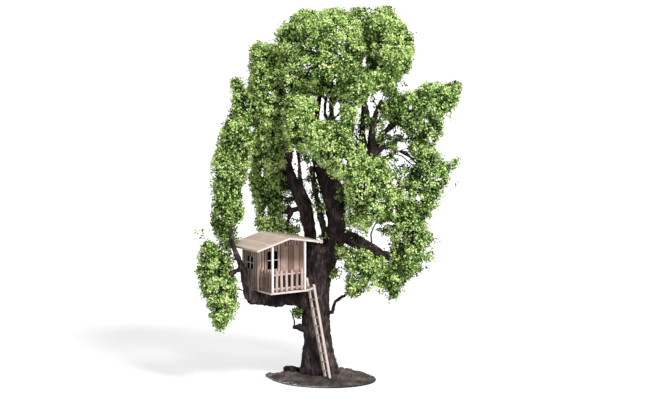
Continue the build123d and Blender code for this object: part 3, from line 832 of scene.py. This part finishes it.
def in_an_oval(points, ovals):
    """True for each point that stands in one of the ovals, whose edges are ragged."""
    across, up = across_and_up(points)
    ragged = clumpiness(points, 3.0, 9) * 1.1
    inside = np.zeros(len(points), bool)
    for middle_across, middle_up, half_across, half_up in ovals:
        off = np.hypot((across - middle_across) / half_across, (up - middle_up) / half_up)
        inside |= off + ragged < 1.0
    return inside


# %% [markdown]
# Twigs are thin tubes that fork. A few branchlets run from the nearest limb into each
# clump, and finer twigs leave them, or the bark where that is nearer, for places just under
# the leaves. There are about two thousand, so their rings are worked out as lists of points
# and made into one mesh.

# %% Twigs
TWIG_SIDES = 5
TWIG_STEPS = 6
SQUARE_MM_PER_BRANCHLET = 1500.0
SQUARE_MM_PER_TWIG = 110.0
LONGEST_TWIG = 34.0


def bent_line(start, end, rng):
    """Points from a start to an end, bent a little to one side."""
    run = end - start
    reach = np.linalg.norm(run)
    sideways = np.cross(run, rng.normal(size=3))
    sideways /= np.linalg.norm(sideways) + 1e-9
    shares = np.linspace(0, 1, TWIG_STEPS)
    bend = sideways * reach * rng.uniform(-0.14, 0.14) + np.array([0, 0, reach * 0.08])
    line = start + np.outer(shares, run) + np.outer(4 * shares * (1 - shares), bend)
    line[1:-1] += rng.normal(scale=0.1 + 0.02 * reach, size=(TWIG_STEPS - 2, 3))
    return line


def twig_tubes(lines, thicknesses):
    """Points and faces of tapering tubes round the lines."""
    points, faces = [], []
    for line, thick in zip(lines, thicknesses):
        run = line[-1] - line[0]
        sideways = np.cross(run, [0.3, 0.5, 0.8])
        sideways /= np.linalg.norm(sideways) + 1e-9
        third = np.cross(run / (np.linalg.norm(run) + 1e-9), sideways)
        base = len(points)
        for centre, share in zip(line, np.linspace(1.0, 0.4, len(line))):
            for side in range(TWIG_SIDES):
                angle = 2 * math.pi * side / TWIG_SIDES
                ring = math.cos(angle) * sideways + math.sin(angle) * third
                points.append(centre + thick * share * ring)
        for step in range(len(line) - 1):
            for side in range(TWIG_SIDES):
                a = base + step * TWIG_SIDES + side
                b = base + step * TWIG_SIDES + (side + 1) % TWIG_SIDES
                faces.append((a, b, b + TWIG_SIDES, a + TWIG_SIDES))
        tip = base + (len(line) - 1) * TWIG_SIDES
        faces.append(tuple(tip + side for side in range(TWIG_SIDES)))
        faces.append(tuple(base + side for side in reversed(range(TWIG_SIDES))))
    return points, faces


def mesh_piece(name, points, faces):
    """A piece from points in millimetres and faces."""
    mesh = bpy.data.meshes.new(name)
    mesh.from_pydata([tuple(p * MM) for p in points], [], faces)
    piece = bpy.data.objects.new(name, mesh)
    bpy.context.scene.collection.objects.link(piece)
    return piece


def point_tree(points):
    """A search tree over points."""
    tree = kdtree.KDTree(len(points))
    for index, point in enumerate(points):
        tree.insert(point, index)
    tree.balance()
    return tree


bark_tree = point_tree(np.array([v.co for v in bark.data.vertices]) / MM)
rng = np.random.default_rng(11)
twig_lines, twig_thickness = [], []
for node in FOLIAGE_NODES:
    _, _, area = places_on(node, 1, rng)
    hubs, outward, _ = places_on(node, max(1, round(area / SQUARE_MM_PER_BRANCHLET)), rng)
    branchlets = []
    for hub, out in zip(hubs, outward):
        hub = hub - out * rng.uniform(5.0, 11.0)
        start, _, reach = bark_tree.find(Vector(hub + np.array([0, 0, -8])))
        if reach > 3.0:
            branchlets.append(bent_line(np.array(start), hub, rng))
    grown = point_tree(np.concatenate(branchlets)) if branchlets else bark_tree
    ends, outward, _ = places_on(node, max(4, int(area / SQUARE_MM_PER_TWIG)), rng)
    for end, out in zip(ends, outward):
        end = end - out * rng.uniform(1.0, 4.0)
        below = Vector(end + np.array([0, 0, -3]))
        start, _, reach = min(
            (grown.find(below), bark_tree.find(below)), key=lambda found: found[2])
        if reach < (LONGEST_TWIG if node != "tufts" else LONGEST_TWIG / 3):
            twig_lines.append(bent_line(np.array(start), end, rng))
            twig_thickness.append(rng.uniform(0.3, 0.5))
    twig_lines += branchlets
    twig_thickness += [rng.uniform(0.7, 1.1) for _ in branchlets]
twigs = mesh_piece("fine_twigs", *twig_tubes(twig_lines, twig_thickness))
only(twigs)
bpy.ops.object.mode_set(mode="EDIT")
bpy.ops.mesh.select_all(action="SELECT")
bpy.ops.mesh.normals_make_consistent(inside=False)
bpy.ops.object.mode_set(mode="OBJECT")
bpy.ops.object.shade_smooth()
finish_piece(twigs, bark_finish)


# %% [markdown]
# A leaf flake is a kite of two triangles folded along its middle, so that it catches the
# light on two sides. Flakes sit in sprays: a spray is some flakes round one point, and
# noise pushes whole sprays out or in, which gives the clumps their ragged edge and gaps.

# %% Leaf flakes
SPRAYS_PER_SQUARE_MM = 0.105
FLAKES_PER_SPRAY = 13
SPRAY_SPREAD = 1.7
LEAF_COLOURS = np.array([
    (0.026, 0.042, 0.013), (0.125, 0.195, 0.046), (0.350, 0.510, 0.120),
    (0.640, 0.800, 0.210), (0.930, 0.960, 0.430),
])


def leaf_mesh(name, centres, outward, tone, rng):
    """One mesh of folded kites at the centres; tone picks each one's colour, dark to pale."""
    count = len(centres)
    facing = outward * 0.7 + rng.normal(size=(count, 3)) * 0.75 + np.array([0, 0, 0.35])
    facing /= np.linalg.norm(facing, axis=1)[:, None]
    along = np.cross(facing, rng.normal(size=(count, 3)))
    along /= np.linalg.norm(along, axis=1)[:, None]
    across = np.cross(facing, along)
    length = rng.uniform(0.95, 1.5, count)[:, None]
    width = length * rng.uniform(0.62, 0.85, count)[:, None]
    fold = facing * length * 0.28
    kite = np.stack([
        centres - along * length, centres + across * width + fold,
        centres + along * length, centres - across * width + fold,
    ], axis=1).reshape(-1, 3)
    base = np.arange(count)[:, None] * 4
    triangles = np.concatenate([base + [0, 2, 1], base + [0, 3, 2]], axis=1).reshape(-1, 3)
    mesh = bpy.data.meshes.new(name)
    mesh.vertices.add(len(kite))
    mesh.vertices.foreach_set("co", (kite * MM).astype(np.float32).ravel())
    mesh.loops.add(triangles.size)
    mesh.loops.foreach_set("vertex_index", triangles.astype(np.int32).ravel())
    mesh.polygons.add(len(triangles))
    mesh.polygons.foreach_set("loop_start", np.arange(0, triangles.size, 3, dtype=np.int32))
    mesh.update()
    tone = np.clip(tone, 0, 3.999)
    low = tone.astype(int)
    part = (tone - low)[:, None]
    high = np.minimum(low + 1, 4)
    colours = LEAF_COLOURS[low] * (1 - part) + LEAF_COLOURS[high] * part
    colours[:, 0] *= rng.uniform(0.70, 1.06, count)
    rgba = np.concatenate([np.repeat(colours, 4, axis=0), np.ones((count * 4, 1))], axis=1)
    attribute = mesh.color_attributes.new("leaf_colour", "FLOAT_COLOR", "POINT")
    attribute.data.foreach_set("color", rgba.astype(np.float32).ravel())
    piece = bpy.data.objects.new(name, mesh)
    bpy.context.scene.collection.objects.link(piece)
    return piece


# %% [markdown]
# One leaves piece is made for each CAD mass, and stands for it. Sprays go from the skin of
# the mass to some way in, and the deeper a spray, the darker it is, as little light comes
# back from there. Masses that are thin on the real model get fewer sprays. Last come small
# sprays on the bare limbs, and wisps that bridge one clump to the next. A wisp is given by
# its place across and up, its spread and its number of sprays, and is as far back as the
# leaves round it, or nearer by a last number, to clothe a limb.

# %% Leaves over every clump
THINNER = {
    "right_side_foliage": 0.8, "right_middle_foliage": 0.7, "right_low_foliage": 0.8,
    "skirt_foliage": 0.75, "middle_foliage": 0.85,
}
# Painted light and shade: a number added to the tone of each clump's leaves; above zero paler,
# below zero darker.
CLUMP_PAINTED_LIGHT_AND_SHADE = {
    "left_middle_foliage": 0.5, "left_shoulder_foliage": 0.4, "middle_foliage": 0.4,
    "right_middle_foliage": 0.7, "right_side_foliage": -0.4, "far_left_foliage": -0.3,
    "right_low_foliage": -0.15, "crown_foliage": 0.15, "right_crown_foliage": 0.1,
}
CLUMP_SIZE, HOLLOW_BELOW = 10.0, -0.5
SKIN_DEPTH, SPRAY_DEPTH, SWELL_BY = 0.6, 7.0, 4.6
PROUD_SHARE, PROUD_BY = 0.12, 2.2
PALEST_TONE, DARKER_PER_MM = 3.2, 0.44
FLAKE_TONE_SPREAD = 1.15
SHADE_DARKER, SHADE_THINNER = 1.5, 0.2
BOX_MARGIN, BOX_SLACK = 1.0, 3.0
LEAVES_ROUND_A_WISP = 60
LEAFY_LIMBS = {
    "front_limbs": 0.07, "back_limbs": 0.05, "right_arm_limb": 0.05, "upper_right_limb": 0.03,
}
WISPS = (
    (40, 186, 5, 40), (34, 192, 4, 20), (71, 108, 5, 34), (60, 78, 5, 26), (70, 64, 5, 30),
    (72, 53, 4, 22), (77, 33, 5, 30), (76, 17, 5, 26), (-16, 42, 3, 16), (-16, 24, 3, 14),
    (-36, -6, 4, 22), (-27, -22, 4, 20), (-30, -32, 3, 14), (-78, 22, 3, 14), (-82, -8, 3, 10),
    (-97, -46, 4, 26), (-96, -58, 3, 14),
    (37, -29, 4, 16), (62, -26, 4, 14), (64, -46, 4, 18),
    (105, -38, 4, 16), (106, -54, 3, 12), (60, -82, 4, 20), (70, -88, 4, 16), (-117, -34, 3, 9),
    (52, 102, 4, 14), (14, 96, 3, 10), (-22, 8, 3, 8), (-28, 172, 5, 16),
    (-94, -16, 3, 22, 12), (-93, -26, 3, 24, 12), (-92, -36, 3, 24, 12), (-97, -30, 3, 20, 6),
)
box_low = np.array(cad_low) / MM + BOX_MARGIN
box_high = np.array(cad_high) / MM - BOX_MARGIN


def add_leaves(name, centres, outward, tone, rng, stands_for=()):
    """Flakes round the middle of each spray, as one piece that keeps within the CAD box."""
    flakes = np.repeat(centres, FLAKES_PER_SPRAY, axis=0)
    flakes += rng.normal(scale=SPRAY_SPREAD, size=flakes.shape)
    slack = rng.uniform(0.0, BOX_SLACK, (len(flakes), 1))
    outside = ((flakes < box_low + slack) | (flakes > box_high - slack)).any(axis=1)
    outward = np.repeat(outward, FLAKES_PER_SPRAY, axis=0)
    tone = np.repeat(tone, FLAKES_PER_SPRAY)
    tone = tone + rng.normal(scale=FLAKE_TONE_SPREAD, size=len(flakes))
    shaded = in_an_oval(flakes, SHADES)
    tone[shaded] -= SHADE_DARKER
    thinned = shaded & (rng.random(len(flakes)) < SHADE_THINNER)
    kept = ~outside & ~in_an_oval(flakes, GAPS) & ~thinned
    leaves = leaf_mesh(name, flakes[kept], outward[kept], tone[kept], rng)
    finish_piece(leaves, leaf_finish, stands_for)
    return int(kept.sum())


rng = np.random.default_rng(23)
flake_total, all_places = 0, []
for seed, node in enumerate(FOLIAGE_NODES):
    _, _, area = places_on(node, 1, rng)
    sprays = int(area * SPRAYS_PER_SQUARE_MM * THINNER.get(node, 1.0))
    places, outward, _ = places_on(node, sprays, rng)
    swell = clumpiness(places, CLUMP_SIZE, seed + 1)
    kept = swell > HOLLOW_BELOW
    places, outward, swell = places[kept], outward[kept], swell[kept]
    inward = rng.uniform(0.0, 1.0, len(places)) ** 1.1
    depth = SKIN_DEPTH + inward * SPRAY_DEPTH - swell * SWELL_BY
    depth[rng.random(len(places)) < PROUD_SHARE] -= PROUD_BY
    # Painted shade and light: deeper sprays are darker, and sprays on a swelling of the clump
    # paler.
    tone = PALEST_TONE - depth * DARKER_PER_MM + swell + rng.normal(scale=0.4, size=len(places))
    tone += CLUMP_PAINTED_LIGHT_AND_SHADE.get(node, 0.0)
    name = node.replace("foliage", "leaves") if "foliage" in node else "tuft_leaves"
    flake_total += add_leaves(name, places - outward * depth[:, None], outward, tone, rng, [node])
    all_places.append(places)

limb_places, limb_outward = [], []
for node, density in LEAFY_LIMBS.items():
    _, _, area = places_on(node, 1, rng)
    places, outward, _ = places_on(node, int(area * density), rng)
    kept = clumpiness(places, 9.0, 31) > -0.1
    limb_places.append(places[kept] + outward[kept] * 1.5)
    limb_outward.append(outward[kept])
all_places = np.concatenate(all_places)
across, up = across_and_up(all_places)
for wisp_across, wisp_up, spread, sprays, *nearer in WISPS:
    near = np.argsort(np.hypot(across - wisp_across, up - wisp_up))[:LEAVES_ROUND_A_WISP]
    middle = eye + (np.median((all_places[near] - eye) @ look) - sum(nearer)) * (
        look + (look_right * wisp_across + look_up * wisp_up) * MM / CAMERA_DISTANCE)
    limb_places.append(middle + rng.normal(scale=spread, size=(sprays, 3)))
    limb_outward.append(np.tile(-look, (sprays, 1)))
limb_places, limb_outward = np.concatenate(limb_places), np.concatenate(limb_outward)
flake_total += add_leaves(
    "limb_leaves", limb_places, limb_outward, rng.uniform(0.4, 3.0, len(limb_places)), rng)
print("leaf flakes:", flake_total)


# %% [markdown]
# The stage is a plain pale floor under an even white sky. The camera sees white behind the
# model, while one broad lamp lights it from above, in front and to the right, and the sky
# fills the shadows.

# %% Floor, sky and lamps
WHITE = (1, 1, 1, 1)
FLOOR_GREY, FLOOR_GLOW = 0.50, 0.60
SKY_STRENGTH = 0.50
LAMP_STRENGTH, LAMP_ANGLE = 3.0, 16
bpy.ops.object.select_all(action="DESELECT")
bpy.ops.mesh.primitive_plane_add(size=30.0, location=(0, 0, 0))
floor = bpy.context.object
floor.name = "floor"
floor_finish = plain_finish("floor_finish", (FLOOR_GREY, FLOOR_GREY, FLOOR_GREY))
floor_nodes = floor_finish.node_tree
ray = floor_nodes.nodes.new("ShaderNodeLightPath")
glow = add_node(floor_finish, "ShaderNodeEmission", Color=WHITE, Strength=arithmetic(
    floor_finish, "MULTIPLY", ray.outputs["Is Camera Ray"], FLOOR_GLOW))
both = add_node(floor_finish, "ShaderNodeAddShader",
                _0=floor_nodes.nodes["Principled BSDF"].outputs[0], _1=glow)
floor_nodes.links.new(both, floor_nodes.nodes["Material Output"].inputs["Surface"])
floor.data.materials.append(floor_finish)

sky = bpy.data.worlds.new("studio_sky")
bpy.context.scene.world = sky
sky.use_nodes = True
sky_nodes = sky.node_tree
sky_light = sky_nodes.nodes["Background"]
sky_light.inputs["Color"].default_value = WHITE
sky_light.inputs["Strength"].default_value = SKY_STRENGTH
sky_white = add_node(sky, "ShaderNodeBackground", Color=WHITE, Strength=1.0)
seen = sky_nodes.nodes.new("ShaderNodeLightPath").outputs
glossy_or_through = arithmetic(
    sky, "MAXIMUM", seen["Is Glossy Ray"], seen["Is Transmission Ray"])
any_seen = arithmetic(sky, "MAXIMUM", seen["Is Camera Ray"], glossy_or_through)
sky_mix = add_node(
    sky, "ShaderNodeMixShader", _0=any_seen, _1=sky_light.outputs[0], _2=sky_white)
sky_nodes.links.new(sky_mix, sky_nodes.nodes["World Output"].inputs["Surface"])

toward_lamp = Vector((0.08, -0.72, 0.69))
bpy.ops.object.light_add(type="SUN", rotation=toward_lamp.to_track_quat("Z", "Y").to_euler())
key_lamp = bpy.context.object
key_lamp.data.energy = LAMP_STRENGTH
key_lamp.data.angle = math.radians(LAMP_ANGLE)
bpy.context.scene.view_settings.view_transform = "Standard"
print("stage set")
